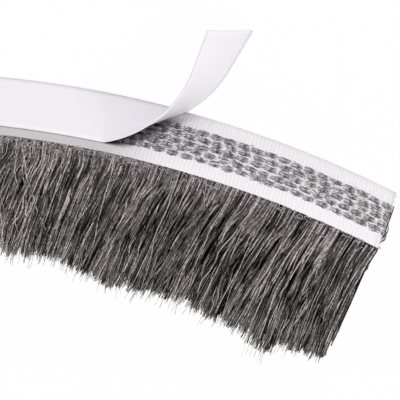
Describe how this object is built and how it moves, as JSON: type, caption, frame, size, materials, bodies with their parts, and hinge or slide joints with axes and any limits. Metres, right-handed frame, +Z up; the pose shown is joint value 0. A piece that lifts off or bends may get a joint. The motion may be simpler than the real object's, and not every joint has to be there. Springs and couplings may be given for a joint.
{
  "type": "brush seal strip",
  "caption": "Self-adhesive brush seal strip: woven backing tape with dense cut pile, its release liner peeled back at one end, lying on its side in a loose ring.",
  "frame": {"origin": "centre of the ring that the strip lies in, on the surface it rests on", "axes": "+Z up, across the width of the tape as it stands on its edge; the ring's open gap and the free end with the peeled liner are towards +X -Y"},
  "size_m": [0.3502, 0.3502, 0.0092],
  "materials": {
    "woven_tape": "white woven polypropylene tape with rows of grey pile yarn on its back",
    "pile_yarn": "charcoal grey cut pile, matte",
    "liner_film": "white release liner, satin"
  },
  "bodies": {
    "root": {"backing_tape": "woven_tape", "pile": "pile_yarn", "release_liner": "liner_film"}
  },
  "joints": []
}
